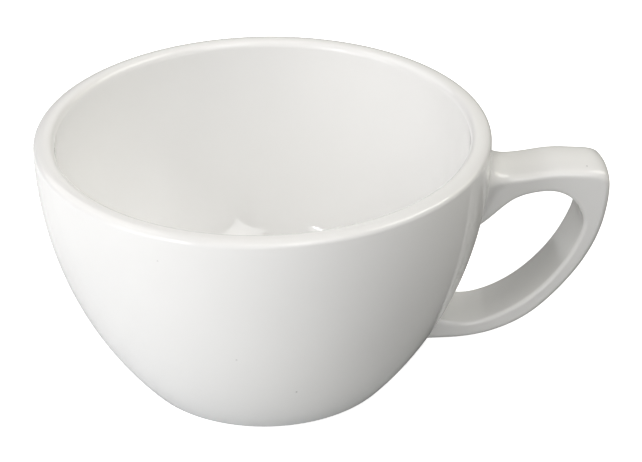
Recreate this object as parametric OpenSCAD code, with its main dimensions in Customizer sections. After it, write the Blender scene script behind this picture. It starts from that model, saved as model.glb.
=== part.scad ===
/* [Bowl] */
// Outside radius of the bowl at the rim
rim_radius = 50; // [44:0.5:58]
// Height from the table to the crest of the lip
cup_height = 60; // [52:0.5:72]
// Thickness of the glazed wall and of the lip
wall = 4.6; // [3.6:0.1:6]
// Outside radius at the heel, where the curved wall ends
heel_radius = 29.2; // [25:0.2:34]
// Thickness of the floor inside the foot ring
floor_thickness = 5; // [4:0.2:8]
// Radius of the inside curve between floor and wall
floor_blend = 20; // [12:0.5:26]

/* [Foot] */
// Height of the foot ring below the heel
foot_height = 1.6; // [1:0.1:3]
// Distance that the foot ring is set back from the heel
foot_setback = 2.8; // [1.5:0.1:4.5]
// Width of the foot ring
foot_width = 3.4; // [2.4:0.1:5]
// Rounding of the foot ring's standing edges
foot_round = 0.7; // [0.3:0.1:1]
// Depth of the recess inside the foot ring
foot_recess = 2.2; // [1.6:0.1:3.5]
// Height of the dry band above the table that carries no glaze
dry_band = 0.9; // [0.8:0.05:1.4]

/* [Handle] */
// Distance from the cup's axis to the outermost face of the handle
handle_reach = 77; // [70:0.2:86]
// Drop from the crest of the lip to the top of the handle
handle_drop = 10.4; // [8:0.2:14]
// Height of the underside of the lower arm above the heel
handle_lift = 5.3; // [4:0.1:9]
// Width of the handle strap across the cup
handle_width = 13.8; // [10:0.2:17]
// Thickness of the handle strap in the plane of the ear
handle_thickness = 5; // [4:0.1:6]
// Rounding of the strap's long edges
handle_edge = 1.8; // [1.2:0.1:2.4]
// Bulge of the strap's outer face across its width
handle_crown = 0.9; // [0.4:0.1:1.4]

/* [Glaze and slip] */
// Thickness of the glass coat
glaze = 0.3; // [0.2:0.05:0.4]
// Clearance between the bowl and its coats, which keeps their faces from crossing
coat_clearance = 0.04; // [0.02:0.01:0.06]
// Thickness of the luting slip between the wall and the handle
slip_bed = 0.8; // [0.6:0.05:1.2]
// Width of the bead of slip that stands out round the handle
slip_bead = 0.5; // [0.3:0.05:0.9]

/* [Hidden] */
$fn = 128;

// Overrun of every cut past the faces that it opens
overrun = 1;

// Depth of the bare bowl below the glazed faces
bare = glaze + coat_clearance;

// Lip: a full round as thick as the wall
lip_radius = wall / 2;
lip_z = cup_height - lip_radius;
lip_mid = rim_radius - lip_radius;

// Outside of the wall: one arc, upright at the lip, which passes through the heel
arc_rise = lip_z - foot_height;
arc_run = rim_radius - heel_radius;
arc_radius = (arc_rise * arc_rise + arc_run * arc_run) / (2 * arc_run);
arc_mid = rim_radius - arc_radius;

// Inside: an arc about the same centre, and a blend that touches it and the floor
cavity_arc = arc_radius - wall;
floor_z = foot_recess + floor_thickness;
blend_z = floor_z + floor_blend;
blend_rise = lip_z - blend_z;
blend_reach = sqrt(pow(cavity_arc - floor_blend, 2) - blend_rise * blend_rise);
blend_mid = arc_mid + blend_reach;
// Length by which the blend crosses the wall's arc and the floor
blend_bite = 0.05;

// Foot ring
foot_outer = heel_radius - foot_setback;
foot_inner = foot_outer - foot_width;

// Handle: stations along the ear, from inside the wall at the top to inside the wall at the bottom.
// Each row is the share of the way from the wall to the outer face, the share of the handle's height,
// the strap's step from inner to outer face as shares of its thickness, and the share of its width.
handle_shares = [
    [-0.62, 0.73, -1.50, 3.10, 1.16],
    [-0.17, 0.81, -0.86, 2.61, 1.12],
    [0.04, 0.875, -0.57, 1.95, 1.06],
    [0.20, 0.905, -0.33, 1.27, 1.00],
    [0.38, 0.92, -0.19, 1.09, 1.00],
    [0.60, 0.935, 0.19, 1.23, 1.00],
    [0.78, 0.905, 0.63, 1.40, 1.00],
    [0.94, 0.875, 1.51, 1.74, 1.00],
    [0.97, 0.79, 1.40, 1.27, 1.00],
    [0.97, 0.69, 1.17, 0.41, 1.00],
    [0.93, 0.585, 1.08, -0.17, 1.00],
    [0.84, 0.445, 0.91, -0.48, 1.00],
    [0.72, 0.305, 0.73, -0.65, 1.00],
    [0.57, 0.16, 0.60, -0.91, 1.00],
    [0.41, 0.08, 0.35, -1.01, 1.01],
    [0.25, 0.05, -0.01, -0.97, 1.07],
    [0.06, 0.08, -0.20, -1.25, 1.15],
    [-0.15, 0.115, -0.26, -1.68, 1.22],
    [-0.36, 0.16, -0.32, -2.11, 1.29]
];
// Largest share of the strap's half thickness that its edges may round off
edge_limit_share = 0.9;
// Rings made between two stations, steps on a rounded edge and steps across the outer face
ring_steps = 3;
edge_steps = 3;
face_steps = 6;
// Spans of the path, counted from each end, that pass through the wall
root_spans = 3;

handle_low = foot_height + handle_lift;
handle_rise = cup_height - handle_drop - handle_low;
handle_mid_reach = handle_reach - handle_thickness / 2;

// Radius of the outside of the wall at a height
function wall_at(z) = arc_mid + sqrt(arc_radius * arc_radius - pow(lip_z - z, 2));

// Station as [distance from the axis, height, step outwards, step upwards, width]
function station(row) =
    let (
        z = handle_low + handle_rise * row[1],
        skin = wall_at(z),
        x = skin + row[0] * (handle_mid_reach - skin)
    )
    [x, z, handle_thickness * row[2], handle_thickness * row[3], handle_width * row[4]];

stations = [for (row = handle_shares) station(row)];
last_span = len(stations) - 4;

// Uniform cubic spline along four stations
function spline(a, b, c, d, t) =
    (pow(1 - t, 3) * a + (3 * pow(t, 3) - 6 * t * t + 4) * b
    + (-3 * pow(t, 3) + 3 * t * t + 3 * t + 1) * c + pow(t, 3) * d) / 6;

// Point of a rounded rectangle: corner number, step on its arc, thickness, width and edge radius
function section_point(corner, step, thick, wide, edge) =
    let (
        turn = 90 * (corner + step / edge_steps),
        side_a = corner == 0 || corner == 3 ? 1 : -1,
        side_b = corner < 2 ? 1 : -1
    )
    [side_a * (thick / 2 - edge) + edge * cos(turn), side_b * (wide / 2 - edge) + edge * sin(turn)];

// Points round the strap: four rounded edges, then the steps across the outer face
function section(thick, wide, edge) = [
    for (corner = [0:3], step = [0:edge_steps]) section_point(corner, step, thick, wide, edge),
    for (step = [1:face_steps - 1]) [thick / 2, (2 * step / face_steps - 1) * (wide / 2 - edge)]
];

// Distance of a section's point from the strap's middle, less the fall of the outer face to its edges
function crowned(p, thick, wide) =
    p[0] - handle_crown * pow(2 * p[1] / wide, 2) * max(0, 2 * p[0] / thick);

// One ring of the strap at a span and a share of it, grown by a length
function ring(span, t, grow) =
    let (
        at = spline(stations[span], stations[span + 1], stations[span + 2], stations[span + 3], t),
        step = norm([at[2], at[3]]),
        out = [at[2], at[3]] / step,
        thick = step + 2 * grow,
        wide = at[4] + 2 * grow,
        edge = min(handle_edge, edge_limit_share * step / 2) + grow
    )
    [for (p = section(thick, wide, edge))
        let (far = crowned(p, thick, wide))
        [at[0] + out[0] * far, p[1], at[1] + out[1] * far]];

// All rings of the strap between two spans
function strap_rings(first, last, grow) = [
    for (span = [first:last], step = [0:ring_steps - 1]) ring(span, step / ring_steps, grow),
    ring(last, 1, grow)
];

// Faces between neighbouring rings, counted from a first point
function strap_walls(count, side, start) = [
    for (i = [0:count - 2], j = [0:side - 1])
        let (a = start + i * side + j, b = start + i * side + (j + 1) % side)
        each [[a, b, a + side], [b, b + side, a + side]]
];

// Faces that close the end between an outer ring and an inner ring, given by their first points
function rim_faces(outer, inner, side) = [
    for (j = [0:side - 1])
        let (k = (j + 1) % side)
        each [[outer + k, outer + j, inner + j], [outer + k, inner + j, inner + k]]
];

function flipped(faces) = [for (face = faces) [face[2], face[1], face[0]]];

// Solid strap between two spans
module strap(first, last, grow) {
    rings = strap_rings(first, last, grow);
    side = len(rings[0]);
    count = len(rings);
    start_cap = [[for (j = [side - 1:-1:0]) j]];
    end_cap = [[for (j = [0:side - 1]) (count - 1) * side + j]];
    polyhedron([for (loop = rings) each loop], concat(strap_walls(count, side, 0), start_cap, end_cap));
}

// Coat of the whole strap, open at both ends
module strap_coat() {
    outer = strap_rings(0, last_span, 0);
    inner = strap_rings(0, last_span, -glaze);
    side = len(outer[0]);
    count = len(outer);
    total = count * side;
    polyhedron(
        [for (loop = concat(outer, inner)) each loop],
        concat(
            strap_walls(count, side, 0),
            flipped(strap_walls(count, side, total)),
            rim_faces(0, total, side),
            flipped(rim_faces(total - side, 2 * total - side, side))
        )
    );
}

// Upper half or lower half of the strap where it runs into the wall
module upper_root(grow) {
    strap(0, root_spans - 1, grow);
}

module lower_root(grow) {
    strap(last_span - root_spans + 1, last_span, grow);
}

// Half plane above a height, as wide as the cup
module above(z) {
    translate([0, z])
        square([rim_radius + overrun, cup_height + overrun]);
}

// Disc of the wall's outer arc, grown outwards by a length
module arc_disc(grow) {
    translate([arc_mid, lip_z])
        circle(arc_radius + grow);
}

// Outline of the bowl as a full shape below the lip's centre, grown by a length
module bowl_outline(grow) {
    intersection() {
        arc_disc(grow);
        translate([0, foot_height])
            square([rim_radius + overrun, arc_rise]);
    }
}

// Inside of the cup below the lip's centre, grown by a length
module cavity_outline(grow) {
    way = [blend_reach, -blend_rise] / (cavity_arc - floor_blend);
    far = [arc_mid, lip_z] + way * (cavity_arc + grow + overrun);
    low = floor_z - grow;
    difference() {
        intersection() {
            translate([arc_mid, lip_z])
                circle(cavity_arc + grow);
            translate([0, low])
                square([rim_radius, lip_z - low]);
        }
        difference() {
            polygon([
                [blend_mid, blend_z],
                far,
                [far[0], low - overrun],
                [blend_mid, low - overrun]
            ]);
            translate([blend_mid, blend_z])
                circle(floor_blend + grow + blend_bite);
        }
    }
}

// Half round of the lip, grown by a length
module lip_outline(grow) {
    intersection() {
        translate([lip_mid, lip_z])
            circle(lip_radius + grow);
        above(lip_z);
    }
}

// Ring of the foot with rounded standing edges
module foot_outline() {
    reach = foot_outer - bare;
    start = foot_inner + bare;
    difference() {
        translate([start, 0])
            square([reach - start, foot_height]);
        for (edge = [[start, 0], [reach - foot_round, 0]])
            translate(edge)
                square([foot_round, foot_round]);
    }
    for (edge = [[start + foot_round, start], [reach - foot_round, reach - foot_round]])
        intersection() {
            translate([edge[0], foot_round])
                circle(foot_round);
            translate([edge[1], 0])
                square([foot_round, foot_round]);
        }
}

// Strip under the heel, from the foot outwards, of a depth
module heel_step(deep) {
    translate([foot_outer - deep, foot_height])
        square([rim_radius, deep]);
}

// Wall of revolution from the axis out to the face that the handle's ends are trimmed to
module trim_core() {
    rotate_extrude()
        bowl_outline(slip_bed - glaze);
}

module bowl() {
    color("whitesmoke")
        rotate_extrude() {
            difference() {
                bowl_outline(-bare);
                cavity_outline(bare);
                translate([0, foot_height])
                    square([foot_inner + bare, foot_recess + bare - foot_height]);
                heel_step(bare);
            }
            lip_outline(-bare);
            foot_outline();
        }
}

module handle() {
    color("whitesmoke")
        difference() {
            strap(0, last_span, -glaze);
            trim_core();
        }
}

module slip_shell() {
    rotate_extrude()
        difference() {
            bowl_outline(slip_bed - glaze);
            bowl_outline(-glaze);
        }
}

module upper_handle_joint() {
    color("gainsboro")
        intersection() {
            upper_root(slip_bead);
            slip_shell();
        }
}

module lower_handle_joint() {
    color("gainsboro")
        intersection() {
            lower_root(slip_bead);
            slip_shell();
        }
}

module inside_glaze() {
    color("white")
        rotate_extrude() {
            difference() {
                cavity_outline(glaze);
                cavity_outline(0);
            }
            intersection() {
                difference() {
                    lip_outline(0);
                    lip_outline(-glaze);
                }
                square([lip_mid, cup_height]);
            }
        }
}

module outside_glaze() {
    color("white")
        difference() {
            rotate_extrude() {
                difference() {
                    bowl_outline(0);
                    bowl_outline(-glaze);
                }
                intersection() {
                    bowl_outline(0);
                    heel_step(glaze);
                }
                translate([foot_outer - glaze, dry_band])
                    square([glaze, foot_height - dry_band]);
                intersection() {
                    difference() {
                        lip_outline(0);
                        lip_outline(-glaze);
                    }
                    translate([lip_mid, 0])
                        square([wall, cup_height]);
                }
            }
            upper_root(slip_bead);
            lower_root(slip_bead);
        }
}

module handle_glaze() {
    color("white")
        difference() {
            strap_coat();
            trim_core();
        }
}

module underside_glaze() {
    color("white")
        rotate_extrude() {
            translate([0, foot_recess])
                square([foot_inner, glaze]);
            translate([foot_inner, dry_band])
                square([glaze, foot_recess + glaze - dry_band]);
        }
}

bowl();
handle();
upper_handle_joint();
lower_handle_joint();
inside_glaze();
outside_glaze();
handle_glaze();
underside_glaze();
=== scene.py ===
import math

import bmesh
import bpy
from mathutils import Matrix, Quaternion, Vector


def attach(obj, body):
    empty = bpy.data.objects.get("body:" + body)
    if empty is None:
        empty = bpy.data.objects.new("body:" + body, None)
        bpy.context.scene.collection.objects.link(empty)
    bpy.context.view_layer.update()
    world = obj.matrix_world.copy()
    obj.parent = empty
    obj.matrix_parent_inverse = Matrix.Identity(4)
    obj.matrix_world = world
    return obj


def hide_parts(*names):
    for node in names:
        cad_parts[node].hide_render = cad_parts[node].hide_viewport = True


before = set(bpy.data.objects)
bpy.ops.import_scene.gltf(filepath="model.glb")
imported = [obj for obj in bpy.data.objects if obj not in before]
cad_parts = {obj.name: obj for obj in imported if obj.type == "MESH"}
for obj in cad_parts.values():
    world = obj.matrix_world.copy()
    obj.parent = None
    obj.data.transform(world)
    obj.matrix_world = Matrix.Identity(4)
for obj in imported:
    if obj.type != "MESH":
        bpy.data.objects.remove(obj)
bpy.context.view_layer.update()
mm = 0.001
print("stage: frame loaded")

# Sizes that several pieces share, in millimetres
cup = {
    "rim": 49.98,
    "height": 60.0,
    "wall": 4.6,
    "heel": 29.2,
    "floorTop": 7.2,
    "floorBlend": 20.0,
    "footHeight": 1.6,
    "footOuter": 26.4,
    "footInner": 23.0,
    "footRound": 0.7,
    "footRecess": 2.2,
    "dryBand": 0.9,
    "glaze": 0.3,
    "coatDepth": 0.31,  # hidden side of a coat, just inside the body
    "coatEdgeSteps": 4,
    "turns": 224,
    "weld": 0.0005,  # closer points become one
}
lipZ = cup["height"] - cup["wall"] / 2
arcRise = lipZ - cup["footHeight"]
arcRun = cup["rim"] - cup["heel"]
arcRadius = (arcRise ** 2 + arcRun ** 2) / (2 * arcRun)
arcMid = cup["rim"] - arcRadius
cavityArc = arcRadius - cup["wall"]
blendZ = cup["floorTop"] + cup["floorBlend"]
blendReach = math.sqrt((cavityArc - cup["floorBlend"]) ** 2 - (lipZ - blendZ) ** 2)
blendMid = arcMid + blendReach
blendAngle = math.degrees(math.atan2(lipZ - blendZ, blendReach))
coatEdgeZ = cup["dryBand"] + cup["glaze"] / 2

# Lip: a low dome between a tight outer corner and a softer inner corner
lip = {
    "innerRound": 1.6,
    "innerRise": 0.55,
    "outerRound": 1.2,
    "outerRise": 0.64,
    "dome": 5.0,
    "domeSteps": 12,
    "cornerSteps": 20,
}
innerMid = Vector((cup["rim"] - cup["wall"] + lip["innerRound"], lipZ + lip["innerRise"]))
outerMid = Vector((cup["rim"] - lip["outerRound"], lipZ + lip["outerRise"]))
lipAcross = outerMid - innerMid
innerReach = lip["dome"] - lip["innerRound"]
outerReach = lip["dome"] - lip["outerRound"]
domeAlong = (innerReach ** 2 - outerReach ** 2 + lipAcross.length_squared) / (2 * lipAcross.length)
domeDepth = math.sqrt(innerReach ** 2 - domeAlong ** 2)
lipWay = lipAcross.normalized()
domeMid = innerMid + lipWay * domeAlong + Vector((lipWay.y, -lipWay.x)) * domeDepth
innerTurn = math.degrees(math.atan2(innerMid.x - domeMid.x, innerMid.y - domeMid.y))
outerTurn = math.degrees(math.atan2(outerMid.x - domeMid.x, outerMid.y - domeMid.y))
meetTurn = (innerTurn + outerTurn) / 2


def wallAt(z):
    return arcMid + math.sqrt(arcRadius ** 2 - (lipZ - z) ** 2)


# Profile helpers: a point, a line and an arc in the plane Y = 0
def startAt(shape, x, z):
    return shape.verts.new((x * mm, 0, z * mm))


def lineTo(shape, last, x, z):
    made = bmesh.ops.extrude_vert_indiv(shape, verts=[last])["verts"][0]
    made.co = (x * mm, 0, z * mm)
    return made


def arcBy(shape, last, midX, midZ, degrees, steps):
    made = bmesh.ops.spin(
        shape, geom=[last], cent=(midX * mm, 0, midZ * mm), axis=(0, 1, 0),
        angle=math.radians(degrees), steps=steps, use_merge=False,
    )
    return [part for part in made["geom_last"] if isinstance(part, bmesh.types.BMVert)][0]


def weldPoints(shape):
    bmesh.ops.remove_doubles(shape, verts=shape.verts, dist=cup["weld"] * mm)


def lathe(shape):
    bmesh.ops.spin(
        shape, geom=shape.verts[:] + shape.edges[:], cent=(0, 0, 0), axis=(0, 0, 1),
        angle=math.tau, steps=cup["turns"], use_merge=True,
    )
    weldPoints(shape)


# From the foot up to the lip's dome, and from the dome down to the floor, at a depth under the glaze
def outerSkin(shape, last, depth, steps):
    heelZ = cup["footHeight"] + depth
    turn = math.asin((lipZ - heelZ) / (arcRadius - depth))
    last = lineTo(shape, last, cup["footOuter"] - depth, heelZ)
    last = lineTo(shape, last, arcMid + (arcRadius - depth) * math.cos(turn), heelZ)
    last = arcBy(shape, last, arcMid, lipZ, -math.degrees(turn), steps)
    last = lineTo(shape, last, cup["rim"] - depth, outerMid.y)
    return arcBy(shape, last, *outerMid, outerTurn - 90, lip["cornerSteps"])


def innerSkin(shape, last, depth, wallSteps, blendSteps):
    last = arcBy(shape, last, *innerMid, -90 - innerTurn, lip["cornerSteps"])
    last = lineTo(shape, last, cup["rim"] - cup["wall"] + depth, lipZ)
    last = arcBy(shape, last, arcMid, lipZ, blendAngle, wallSteps)
    return arcBy(shape, last, blendMid, blendZ, 90 - blendAngle, blendSteps)


def finishPiece(name, shape, material, slotName, *nodes):
    bmesh.ops.recalc_face_normals(shape, faces=shape.faces)
    if shape.calc_volume(signed=True) < 0:
        bmesh.ops.reverse_faces(shape, faces=shape.faces)
    for face in shape.faces:
        face.smooth = True
    mesh = bpy.data.meshes.new(name)
    shape.to_mesh(mesh)
    shape.free()
    mesh.materials.append(material)
    piece = bpy.data.objects.new(name, mesh)
    bpy.context.scene.collection.objects.link(piece)
    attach(piece, "root")
    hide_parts(*nodes)


# Materials
def newMaterial(name):
    material = bpy.data.materials.new(name)
    material.use_nodes = True
    material.node_tree.nodes.clear()
    return material, material.node_tree.nodes, material.node_tree.links


def smoothRange(nodes, start, end, startValue, endValue):
    made = nodes.new("ShaderNodeMapRange")
    made.interpolation_type = "SMOOTHSTEP"
    made.inputs["From Min"].default_value = start
    made.inputs["From Max"].default_value = end
    made.inputs["To Min"].default_value = startValue
    made.inputs["To Max"].default_value = endValue
    return made


def noise(nodes, scale, detail):
    made = nodes.new("ShaderNodeTexNoise")
    made.inputs["Scale"].default_value = scale
    made.inputs["Detail"].default_value = detail
    return made


def glazeMaterial(name, look):
    material, nodes, links = newMaterial(name)
    output = nodes.new("ShaderNodeOutputMaterial")
    shader = nodes.new("ShaderNodeBsdfPrincipled")
    place = nodes.new("ShaderNodeTexCoord")
    cloud = noise(nodes, look["cloudScale"], look["cloudDetail"])
    tint = nodes.new("ShaderNodeValToRGB")
    tint.color_ramp.elements[0].position = look["darkAt"]
    tint.color_ramp.elements[1].position = look["lightAt"]
    tint.color_ramp.elements[0].color = (*look["dark"], 1)
    tint.color_ramp.elements[1].color = (*look["light"], 1)
    ripple = noise(nodes, look["rippleScale"], look["rippleDetail"])
    bump = nodes.new("ShaderNodeBump")
    bump.inputs["Strength"].default_value = look["rippleStrength"]
    bump.inputs["Distance"].default_value = look["rippleDepth"] * mm
    shader.inputs["Roughness"].default_value = look["rough"]
    shader.inputs["IOR"].default_value = look["bend"]
    links.new(place.outputs["Object"], cloud.inputs["Vector"])
    links.new(place.outputs["Object"], ripple.inputs["Vector"])
    links.new(cloud.outputs["Fac"], tint.inputs["Fac"])
    colour = tint.outputs["Color"]
    for *speckAt, speckShade in look["specks"]:  # pinholes, each with its place and shade
        away = nodes.new("ShaderNodeVectorMath")
        away.operation = "DISTANCE"
        away.inputs[1].default_value = [value * mm for value in speckAt]
        clear = smoothRange(nodes, look["speckCore"] * mm, look["speckRadius"] * mm, speckShade, 1)
        shade = nodes.new("ShaderNodeVectorMath")
        shade.operation = "SCALE"
        links.new(place.outputs["Object"], away.inputs[0])
        links.new(away.outputs["Value"], clear.inputs["Value"])
        links.new(clear.outputs["Result"], shade.inputs["Scale"])
        links.new(colour, shade.inputs[0])
        colour = shade.outputs["Vector"]
    links.new(colour, shader.inputs["Base Color"])
    links.new(ripple.outputs["Fac"], bump.inputs["Height"])
    links.new(bump.outputs["Normal"], shader.inputs["Normal"])
    links.new(shader.outputs["BSDF"], output.inputs["Surface"])
    return material


glaze = glazeMaterial("glazeWhite", {
    "dark": (0.905, 0.905, 0.90),
    "darkAt": 0.3,
    "light": (0.93, 0.93, 0.925),
    "lightAt": 0.7,
    "cloudScale": 25,
    "cloudDetail": 2,
    "rippleScale": 160,
    "rippleDetail": 1,
    "rippleStrength": 0.2,
    "rippleDepth": 0.05,
    "rough": 0.03,
    "bend": 1.5,
    "specks": [
        (-25.04, -43.13, 53.44, 0.85),
        (-9.68, -44.01, 29.03, 0.75),
        (3.09, -39.82, 17.36, 0.5),
        (71.48, -4.27, 48.67, 0.65),
    ],
    "speckCore": 0.08,
    "speckRadius": 0.3,
})
bisque = glazeMaterial("porcelainBody", {
    "dark": (0.70, 0.68, 0.64),
    "darkAt": 0.3,
    "light": (0.76, 0.74, 0.70),
    "lightAt": 0.7,
    "cloudScale": 120,
    "cloudDetail": 2,
    "rippleScale": 2500,
    "rippleDetail": 1,
    "rippleStrength": 0.5,
    "rippleDepth": 0.05,
    "rough": 0.75,
    "bend": 1.5,
    "specks": [],
})
print("stage: materials made")

# Coats that meet on the crest of the lip run on under each other by a small sunk hem
hem = {"degrees": 2.5, "steps": 5, "sunk": 0.01}


def hemPoint(degrees, depth):
    turn = math.radians(meetTurn + degrees)
    short = lip["dome"] - depth
    return domeMid.x + short * math.sin(turn), domeMid.y + short * math.cos(turn)


def hemToCrest(shape, side):
    last = startAt(shape, *hemPoint(side * hem["degrees"], hem["sunk"]))
    for step in range(1, hem["steps"] + 1):
        left = 1 - step / hem["steps"]
        last = lineTo(shape, last, *hemPoint(side * hem["degrees"] * left, hem["sunk"] * left ** 2))
    return last


# Outside coat: lip, wall, heel and the side of the foot down to the dry band, then back up its hidden side
outside = {"heelRound": 0.8, "footFillet": 0.5, "wallSteps": 90, "roundSteps": 8, "hiddenSteps": 40}
heelRadius = arcRadius - outside["heelRound"]
heelZ = cup["footHeight"] + outside["heelRound"]
heelTurn = math.degrees(math.asin((lipZ - heelZ) / heelRadius))
heelMid = arcMid + heelRadius * math.cos(math.radians(heelTurn))
filletMid = cup["footOuter"] + outside["footFillet"]
shape = bmesh.new()
last = hemToCrest(shape, -1)
last = arcBy(shape, last, *domeMid, outerTurn - meetTurn, lip["domeSteps"])
last = arcBy(shape, last, *outerMid, 90 - outerTurn, lip["cornerSteps"])
last = lineTo(shape, last, cup["rim"], lipZ)
last = arcBy(shape, last, arcMid, lipZ, heelTurn, outside["wallSteps"])
last = arcBy(shape, last, heelMid, heelZ, 90 - heelTurn, outside["roundSteps"])
last = lineTo(shape, last, filletMid, cup["footHeight"])
last = arcBy(shape, last, filletMid, cup["footHeight"] - outside["footFillet"], -90, outside["roundSteps"])
last = lineTo(shape, last, cup["footOuter"], coatEdgeZ)
last = arcBy(shape, last, cup["footOuter"] - cup["glaze"] / 2, coatEdgeZ, 90, cup["coatEdgeSteps"])
last = lineTo(shape, last, cup["footOuter"] - cup["coatDepth"], cup["dryBand"])
last = outerSkin(shape, last, cup["coatDepth"], outside["hiddenSteps"])
last = arcBy(shape, last, *domeMid, meetTurn - hem["degrees"] - outerTurn, lip["domeSteps"])
lineTo(shape, last, *hemPoint(-hem["degrees"], hem["sunk"]))
lathe(shape)
finishPiece("outsideGlaze", shape, glaze, "glaze", "outside_glaze")

# Inside coat: lip, wall, blend and floor, then its hidden side from the hem to the middle
inside = {"wallSteps": 70, "blendSteps": 44, "floorSteps": 6, "hiddenSteps": 40}
shape = bmesh.new()
last = hemToCrest(shape, 1)
last = arcBy(shape, last, *domeMid, innerTurn - meetTurn, lip["domeSteps"])
last = innerSkin(shape, last, 0, inside["wallSteps"], inside["blendSteps"])
for step in range(1, inside["floorSteps"] + 1):
    last = lineTo(shape, last, blendMid * (1 - step / inside["floorSteps"]), cup["floorTop"])
last = startAt(shape, *hemPoint(hem["degrees"], hem["sunk"]))
last = lineTo(shape, last, *hemPoint(hem["degrees"], cup["coatDepth"]))
last = arcBy(shape, last, *domeMid, innerTurn - meetTurn - hem["degrees"], lip["domeSteps"])
last = innerSkin(shape, last, cup["coatDepth"], inside["hiddenSteps"], inside["hiddenSteps"])
lineTo(shape, last, 0, cup["floorTop"] - cup["coatDepth"])
lathe(shape)
finishPiece("insideGlaze", shape, glaze, "glaze", "inside_glaze")

# Underside coat: the recess inside the foot ring, then back over its hidden side
underside = {"fillet": 0.8, "roundSteps": 8, "discSteps": 6}
discReach = cup["footInner"] - underside["fillet"]
hiddenReach = cup["footInner"] + cup["coatDepth"]
hiddenZ = cup["footRecess"] + cup["coatDepth"]
shape = bmesh.new()
last = startAt(shape, 0, cup["footRecess"])
for step in range(1, underside["discSteps"] + 1):
    last = lineTo(shape, last, discReach * step / underside["discSteps"], cup["footRecess"])
last = arcBy(shape, last, discReach, cup["footRecess"] - underside["fillet"], 90, underside["roundSteps"])
last = lineTo(shape, last, cup["footInner"], coatEdgeZ)
last = arcBy(shape, last, cup["footInner"] + cup["glaze"] / 2, coatEdgeZ, -90, cup["coatEdgeSteps"])
last = lineTo(shape, last, hiddenReach, cup["dryBand"])
last = lineTo(shape, last, hiddenReach, hiddenZ)
lineTo(shape, last, 0, hiddenZ)
lathe(shape)
finishPiece("undersideGlaze", shape, glaze, "glaze", "underside_glaze")

# Bowl body under the coats, bare on the foot ring
body = {"wallSteps": 40, "roundSteps": 8}
thin = cup["glaze"]
innerFoot = cup["footInner"] + thin
shape = bmesh.new()
first = startAt(shape, cup["footOuter"] - thin - cup["footRound"], 0)
last = arcBy(shape, first, first.co.x / mm, cup["footRound"], -90, body["roundSteps"])
last = outerSkin(shape, last, thin, body["wallSteps"])
last = arcBy(shape, last, *domeMid, innerTurn - outerTurn, lip["domeSteps"])
last = innerSkin(shape, last, thin, body["wallSteps"], body["wallSteps"])
lineTo(shape, last, 0, cup["floorTop"] - thin)
last = startAt(shape, 0, cup["footRecess"] + thin)
last = lineTo(shape, last, innerFoot, cup["footRecess"] + thin)
last = lineTo(shape, last, innerFoot, cup["footRound"])
last = arcBy(shape, last, innerFoot + cup["footRound"], cup["footRound"], -90, body["roundSteps"])
lineTo(shape, last, first.co.x / mm, 0)
lathe(shape)
finishPiece("bowlBody", shape, bisque, "porcelain", "bowl")
print("stage: bowl and coats made")

# Handle: a strap along stations, each with the share of the way from the wall to the outer face, the
# share of the height, the step from inner to outer face in thicknesses, and the share of the width
handle = {
    "reach": 77.0,
    "drop": 10.4,
    "lift": 5.3,
    "thick": 5.0,
    "width": 13.8,
    "edge": 1.8,
    "innerEdge": 1.0,
    "innerTrim": 0.38,
    "edgeLimit": 0.9,
    "crown": 0.9,
    "trim": -0.02,
    "edgeSteps": 8,
    "flatSteps": 8,
    "rings": 160,
    "rootSpans": 3.6,
    "searchSteps": 40,
    "shares": [
        (-0.62, 0.73, -1.50, 3.10, 1.16),
        (-0.17, 0.81, -0.86, 2.61, 1.12),
        (0.04, 0.875, -0.57, 1.95, 1.06),
        (0.20, 0.905, -0.33, 1.27, 1.00),
        (0.38, 0.92, -0.19, 1.09, 1.00),
        (0.60, 0.935, 0.19, 1.23, 1.00),
        (0.78, 0.905, 0.63, 1.40, 1.00),
        (0.94, 0.875, 1.51, 1.74, 1.00),
        (0.97, 0.79, 1.40, 1.27, 1.00),
        (0.97, 0.69, 1.17, 0.41, 1.00),
        (0.93, 0.585, 1.08, -0.17, 1.00),
        (0.84, 0.445, 0.91, -0.48, 1.00),
        (0.72, 0.305, 0.73, -0.65, 1.00),
        (0.57, 0.16, 0.60, -0.91, 1.00),
        (0.41, 0.08, 0.35, -1.01, 1.01),
        (0.25, 0.05, -0.01, -0.97, 1.07),
        (0.06, 0.08, -0.20, -1.25, 1.15),
        (-0.15, 0.115, -0.26, -1.68, 1.22),
        (-0.36, 0.16, -0.32, -2.11, 1.29),
    ],
}
handleLow = cup["footHeight"] + handle["lift"]
handleRise = cup["height"] - handle["drop"] - handleLow
handleMidReach = handle["reach"] - handle["thick"] / 2
stations = []
for away, up, stepOut, stepUp, wideShare in handle["shares"]:
    z = handleLow + handleRise * up
    x = wallAt(z) + away * (handleMidReach - wallAt(z))
    stations.append(Vector((
        x, z, handle["thick"] * stepOut, handle["thick"] * stepUp, handle["width"] * wideShare,
    )))
spans = len(stations) - 3
corners = [(1, 1), (-1, 1), (-1, -1), (1, -1)]
sectionCount = len(corners) * (handle["edgeSteps"] + handle["flatSteps"])


# A cubic spline along the stations
def stationAt(path):
    span = min(int(path), spans - 1)
    t = path - span
    a, b, c, d = stations[span:span + 4]
    return (
        a * (1 - t) ** 3
        + b * (3 * t ** 3 - 6 * t * t + 4)
        + c * (-3 * t ** 3 + 3 * t * t + 3 * t + 1)
        + d * t ** 3
    ) / 6


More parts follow.
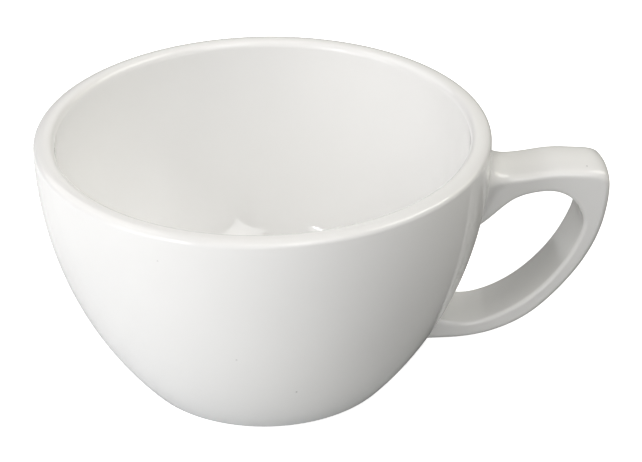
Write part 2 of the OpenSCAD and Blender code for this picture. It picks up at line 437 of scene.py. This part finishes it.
# A point of the strap's rounded section, which is crowned on its outer face
def strapPoint(path, index, grow):
    x, z, stepOut, stepUp, wide = stationAt(path)
    thick = math.hypot(stepOut, stepUp)
    corner, step = divmod(index % sectionCount, handle["edgeSteps"] + handle["flatSteps"])

    def onCorner(number, part):
        turn = math.radians(90 * (number + part / handle["edgeSteps"]))
        sideA, sideB = corners[number % len(corners)]
        edge = min(handle["edge" if sideA > 0 else "innerEdge"], handle["edgeLimit"] * thick / 2)
        face = thick / 2 if sideA > 0 else thick / 2 - handle["innerTrim"]
        return Vector((
            sideA * (face - edge) + (edge + grow) * math.cos(turn),
            sideB * (wide / 2 - edge) + (edge + grow) * math.sin(turn),
        ))

    if step <= handle["edgeSteps"]:
        p = onCorner(corner, step)
    else:
        share = (step - handle["edgeSteps"]) / handle["flatSteps"]
        p = onCorner(corner, handle["edgeSteps"]).lerp(onCorner(corner + 1, 0), share)
    p[0] -= handle["crown"] * (2 * p[1] / (wide + 2 * grow)) ** 2 * max(0, 2 * p[0] / (thick + 2 * grow))
    return Vector((x + stepOut / thick * p[0], p[1], z + stepUp / thick * p[0]))


def outOfWall(point):
    return math.hypot(point.x, point.y) - wallAt(point.z)


# Where a line along the strap comes out of the wall
def crossing(index, inner, outer, grow):
    for _ in range(handle["searchSteps"]):
        middle = (inner + outer) / 2
        if outOfWall(strapPoint(middle, index, grow)) < 0:
            inner = middle
        else:
            outer = middle
    return outer


def crossings(grow):
    starts = [crossing(j, 0, handle["rootSpans"], grow) for j in range(sectionCount)]
    ends = [crossing(j, spans, spans - handle["rootSpans"], grow) for j in range(sectionCount)]
    return starts, ends


# A grid wrapped round the strap's section
def wrapGrid(rows, place):
    shape = bmesh.new()
    bmesh.ops.create_grid(shape, x_segments=rows, y_segments=sectionCount, size=1)
    for vert in shape.verts:
        i = round((vert.co.x + 1) / 2 * rows)
        j = round((vert.co.y + 1) / 2 * sectionCount) % sectionCount
        vert.co = place(i, j) * mm
    weldPoints(shape)
    return shape


def strapShape(grow):
    starts, ends = crossings(grow)

    def place(i, j):
        share = i / handle["rings"]
        return strapPoint(starts[j] + (ends[j] - starts[j]) * share, j, grow)

    shape = wrapGrid(handle["rings"], place)
    bmesh.ops.holes_fill(shape, edges=shape.edges, sides=sectionCount)
    return shape


# Out along the seen side of the coat and back along its hidden side
def coatShape(grow, depth):
    outer, inner = crossings(grow), crossings(grow - depth)
    rows = 2 * handle["rings"] + 2

    def place(i, j):
        if i <= handle["rings"] or i == rows:
            (starts, ends), rise, share = outer, grow, i % rows / handle["rings"]
        else:
            (starts, ends), rise, share = inner, grow - depth, (rows - 1 - i) / handle["rings"]
        return strapPoint(starts[j] + (ends[j] - starts[j]) * share, j, rise)

    return wrapGrid(rows, place)


coat = coatShape(handle["trim"], cup["coatDepth"])
finishPiece("handleGlaze", coat, glaze, "glaze", "handle_glaze")
finishPiece("handleBody", strapShape(-cup["glaze"]), bisque, "porcelain", "handle")
print("stage: handle made")

# Joints: a fillet of glazed slip round each end of the handle, smaller on the strap's inner face
upper = {"alongHandle": 6.4, "alongWall": 4.6, "innerShare": 0.1, "fall": 1.0}
lower = {"alongHandle": 2.6, "alongWall": 1.2, "innerShare": 0.4, "fall": 2.0}
bothJoints = {
    "steps": 18,
    "tail": 0.35,  # share of a fillet's size that it runs on, sinking into the coats
    "tailSteps": 5,
    "sunk": 0.02,
    "hiddenSteps": 8,
    "searchSpans": 2,
    "searchSteps": 30,
}


def onWall(point, sunk):
    flat = math.hypot(point.x, point.y)
    radius = wallAt(point.z) - sunk
    return Vector((point.x * radius / flat, point.y * radius / flat, point.z))


def wallNormal(point):
    flat = math.hypot(point.x, point.y)
    run = wallAt(point.z) - arcMid
    return Vector((point.x / flat * run, point.y / flat * run, point.z - lipZ)).normalized()


def sizeShare(joint, path, point):
    x, z, stepOut, stepUp, _ = stationAt(path)
    inwards = 0.5 - ((point.x - x) * stepOut + (point.z - z) * stepUp) / (stepOut ** 2 + stepUp ** 2)
    return 1 - (1 - joint["innerShare"]) * min(1, max(0, inwards)) ** joint["fall"]


# The steps along the strap that lead to the given distance from its root
def spansFor(distance, root, index, away):
    foot = strapPoint(root, index, handle["trim"])
    near, far = 0, bothJoints["searchSpans"]
    for _ in range(bothJoints["searchSteps"]):
        guess = (near + far) / 2
        if (strapPoint(root + away * guess, index, handle["trim"]) - foot).length < distance:
            near = guess
        else:
            far = guess
    return near


def jointShape(joint, roots, away):
    trim = handle["trim"]
    foot = [strapPoint(root, j, trim) for j, root in enumerate(roots)]
    middle = sum(foot, Vector()) / sectionCount
    table = []
    for j, root in enumerate(roots):
        share = sizeShare(joint, root, foot[j])
        run = spansFor(joint["alongHandle"] * share, root, j, away)
        start = strapPoint(root + away * run, j, trim)
        along = (foot[(j + 1) % sectionCount] - foot[j - 1]).normalized()
        side = wallNormal(foot[j]).cross(along) * joint["alongWall"] * share
        if side.dot(foot[j] - middle) < 0:
            side.negate()
        end = onWall(foot[j] + side, 0)
        fillet = []
        for step in range(bothJoints["steps"] + 1):
            t = step / bothJoints["steps"]
            fillet.append(start * (1 - t) ** 2 + foot[j] * (2 * t * (1 - t)) + end * t * t)
        onStrap, onBowl = [], []
        for step in range(1, bothJoints["tailSteps"] + 1):
            part = step / bothJoints["tailSteps"]
            grown = 1 + bothJoints["tail"] * part
            sunk = bothJoints["sunk"] * part ** 2
            onStrap.insert(0, strapPoint(root + away * run * grown, j, trim - sunk))
            onBowl.append(onWall(foot[j] + side * grown, sunk))
        reach = away * run * (1 + bothJoints["tail"]) / bothJoints["hiddenSteps"]
        hidden = []
        for step in range(bothJoints["hiddenSteps"] + 1):
            hidden.append(strapPoint(root + reach * step, j, trim - cup["coatDepth"]))
        hidden[0] = onWall(hidden[0], cup["coatDepth"])
        table.append([*onStrap, *fillet, *onBowl, *hidden, onStrap[0]])
    return wrapGrid(len(table[0]) - 1, lambda i, j: table[j][i])


startRoots, endRoots = crossings(handle["trim"])
finishPiece("upperJoint", jointShape(upper, startRoots, 1), glaze, "slip", "upper_handle_joint")
finishPiece("lowerJoint", jointShape(lower, endRoots, -1), glaze, "slip", "lower_handle_joint")
print("stage: joints made")

# Floor: white to the camera with a faint shadow, darker to the right for the light it throws back, and
# see-through from below
floor = {
    "half": 3.0,
    "drop": 0.02,
    "seen": 0.8,
    "lift": 0.85,
    "liftFar": 1.0,
    "liftFrom": 0.2,
    "liftTo": 0.6,
    "left": 0.9,
    "right": 0.2,
    "fade": 0.15,
    "glow": 0.17,
    "glowFade": 0.08,
    "tint": (0.88, 0.96, 1.0),
}


def floorMaterial(name, look):
    material, nodes, links = newMaterial(name)
    output = nodes.new("ShaderNodeOutputMaterial")
    place = nodes.new("ShaderNodeTexCoord")
    # what the camera sees
    fromCup = nodes.new("ShaderNodeVectorMath")
    fromCup.operation = "LENGTH"
    liftOut = smoothRange(nodes, look["liftFrom"], look["liftTo"], look["lift"], look["liftFar"])
    seen = nodes.new("ShaderNodeBsdfDiffuse")
    seen.inputs["Color"].default_value = (look["seen"],) * 3 + (1,)
    lift = nodes.new("ShaderNodeEmission")
    seenWhite = nodes.new("ShaderNodeAddShader")
    links.new(place.outputs["Object"], fromCup.inputs[0])
    links.new(fromCup.outputs["Value"], liftOut.inputs["Value"])
    links.new(liftOut.outputs["Result"], lift.inputs["Strength"])
    links.new(seen.outputs["BSDF"], seenWhite.inputs[0])
    links.new(lift.outputs["Emission"], seenWhite.inputs[1])
    # what lights the cup: painted shade that makes the floor darker to the right, and a painted glow on the
    # left that stands in for light thrown back
    axes = nodes.new("ShaderNodeSeparateXYZ")
    across = smoothRange(nodes, -look["fade"], look["fade"], look["left"], look["right"])
    glowAcross = smoothRange(nodes, -look["glowFade"], look["glowFade"], look["glow"], 0)
    lit = nodes.new("ShaderNodeBsdfDiffuse")
    glow = nodes.new("ShaderNodeEmission")
    glow.inputs["Color"].default_value = (*look["tint"], 1)
    litWhite = nodes.new("ShaderNodeAddShader")
    links.new(place.outputs["Object"], axes.inputs["Vector"])
    links.new(axes.outputs["X"], across.inputs["Value"])
    links.new(axes.outputs["X"], glowAcross.inputs["Value"])
    links.new(across.outputs["Result"], lit.inputs["Color"])
    links.new(glowAcross.outputs["Result"], glow.inputs["Strength"])
    links.new(lit.outputs["BSDF"], litWhite.inputs[0])
    links.new(glow.outputs["Emission"], litWhite.inputs[1])
    # one or the other, and nothing from below
    lightPath = nodes.new("ShaderNodeLightPath")
    byRay = nodes.new("ShaderNodeMixShader")
    sides = nodes.new("ShaderNodeNewGeometry")
    below = nodes.new("ShaderNodeBsdfTransparent")
    bySide = nodes.new("ShaderNodeMixShader")
    links.new(lightPath.outputs["Is Camera Ray"], byRay.inputs["Fac"])
    links.new(litWhite.outputs["Shader"], byRay.inputs[1])
    links.new(seenWhite.outputs["Shader"], byRay.inputs[2])
    links.new(sides.outputs["Backfacing"], bySide.inputs["Fac"])
    links.new(byRay.outputs["Shader"], bySide.inputs[1])
    links.new(below.outputs["BSDF"], bySide.inputs[2])
    links.new(bySide.outputs["Shader"], output.inputs["Surface"])
    return material


shape = bmesh.new()
bmesh.ops.create_grid(shape, x_segments=1, y_segments=1, size=floor["half"])
bmesh.ops.translate(shape, verts=shape.verts, vec=(0, 0, -floor["drop"] * mm))
floorMesh = bpy.data.meshes.new("studioFloor")
shape.to_mesh(floorMesh)
shape.free()
floorMesh.materials.append(floorMaterial("floorWhite", floor))
studioFloor = bpy.data.objects.new("studioFloor", floorMesh)
bpy.context.scene.collection.objects.link(studioFloor)

# World: white to the camera, and no light
world = bpy.data.worlds.new("studioWorld")
world.use_nodes = True
bpy.context.scene.world = world
backdrop = world.node_tree.nodes["Background"]
backdrop.inputs["Color"].default_value = (1, 1, 1, 1)
worldPath = world.node_tree.nodes.new("ShaderNodeLightPath")
world.node_tree.links.new(worldPath.outputs["Is Camera Ray"], backdrop.inputs["Strength"])

# Lamps, each aimed at the middle of the cup: heading, height and roll in degrees, way off and sides in metres
aim = Vector((0, 0, 0.03))
lamps = {
    "keyLamp": {
        "way": (212, 18, 0), "off": 1.2, "sides": (1.0, 1.0), "round": True,
        "power": 5.8, "tint": (0.99, 0.98, 1.0),
    },
    "frontLeftLamp": {
        "way": (245, 22, 0), "off": 1.2, "sides": (1.2, 1.2), "round": True,
        "power": 3.2, "tint": (1.0, 0.99, 0.95),
    },
    "backLamp": {
        "way": (150, 45, 0), "off": 0.4, "sides": (0.35, 0.35), "round": True,
        "power": 0.43, "tint": (1.0, 0.98, 0.98),
    },
    "rightLamp": {
        "way": (5, 50, 0), "off": 1.2, "sides": (0.7, 0.7), "round": True,
        "power": 4.75, "tint": (1.0, 0.98, 0.94),
    },
    "sideLamp": {
        "way": (20, 28, 0), "off": 1.2, "sides": (0.6, 0.6), "round": True,
        "power": 1.45, "tint": (1.0, 0.97, 0.8),
    },
    "topLamp": {
        "way": (290, 75, 0), "off": 1.2, "sides": (0.8, 0.8), "round": True,
        "power": 2.2, "tint": (1.0, 0.96, 0.87),
    },
    "frontLamp": {
        "way": (287, 44, 45), "off": 1.2, "sides": (0.5, 0.5), "round": False,
        "power": 2.75, "tint": (1.0, 1.0, 1.0),
    },
    "stripLamp": {
        "way": (221, 30.5, -15), "off": 1.2, "sides": (0.25, 0.085), "round": False,
        "power": 0.6, "tint": (1.0, 1.0, 1.0),
    },
    "rearLamp": {
        "way": (80, 22, 0), "off": 1.2, "sides": (0.8, 0.8), "round": True,
        "power": 0.7, "tint": (1.0, 1.0, 0.92),
    },
}
for name, lamp in lamps.items():
    heading, height, roll = [math.radians(value) for value in lamp["way"]]
    flat = math.cos(height)
    way = Vector((flat * math.cos(heading), flat * math.sin(heading), math.sin(height)))
    light = bpy.data.lights.new(name, "AREA")
    light.shape = "ELLIPSE" if lamp["round"] else "RECTANGLE"
    light.size, light.size_y = lamp["sides"]
    light.energy = lamp["power"]
    light.color = lamp["tint"]
    holder = bpy.data.objects.new(name, light)
    bpy.context.scene.collection.objects.link(holder)
    holder.location = aim + way * lamp["off"]
    turn = (-way).to_track_quat("-Z", "Y") @ Quaternion((0, 0, 1), roll)
    holder.rotation_euler = turn.to_euler()

# Camera, from a fit to the outline of the bowl in the photograph: metres, degrees and millimetres of film
view = {
    "at": (-0.03257, -0.46577, 0.29840),
    "turn": (60.5023, 0.5439, -5.8417),
    "lens": 134.58,
    "sensor": 36.0,
    "clip": (0.01, 20),
}
cameraData = bpy.data.cameras.new("photoCamera")
cameraData.lens = view["lens"]
cameraData.sensor_width = view["sensor"]
cameraData.clip_start, cameraData.clip_end = view["clip"]
camera = bpy.data.objects.new("photoCamera", cameraData)
bpy.context.scene.collection.objects.link(camera)
camera.location = view["at"]
camera.rotation_euler = [math.radians(value) for value in view["turn"]]
bpy.context.scene.camera = camera
bpy.context.scene.view_settings.view_transform = "Standard"
print("stage: camera and light made")
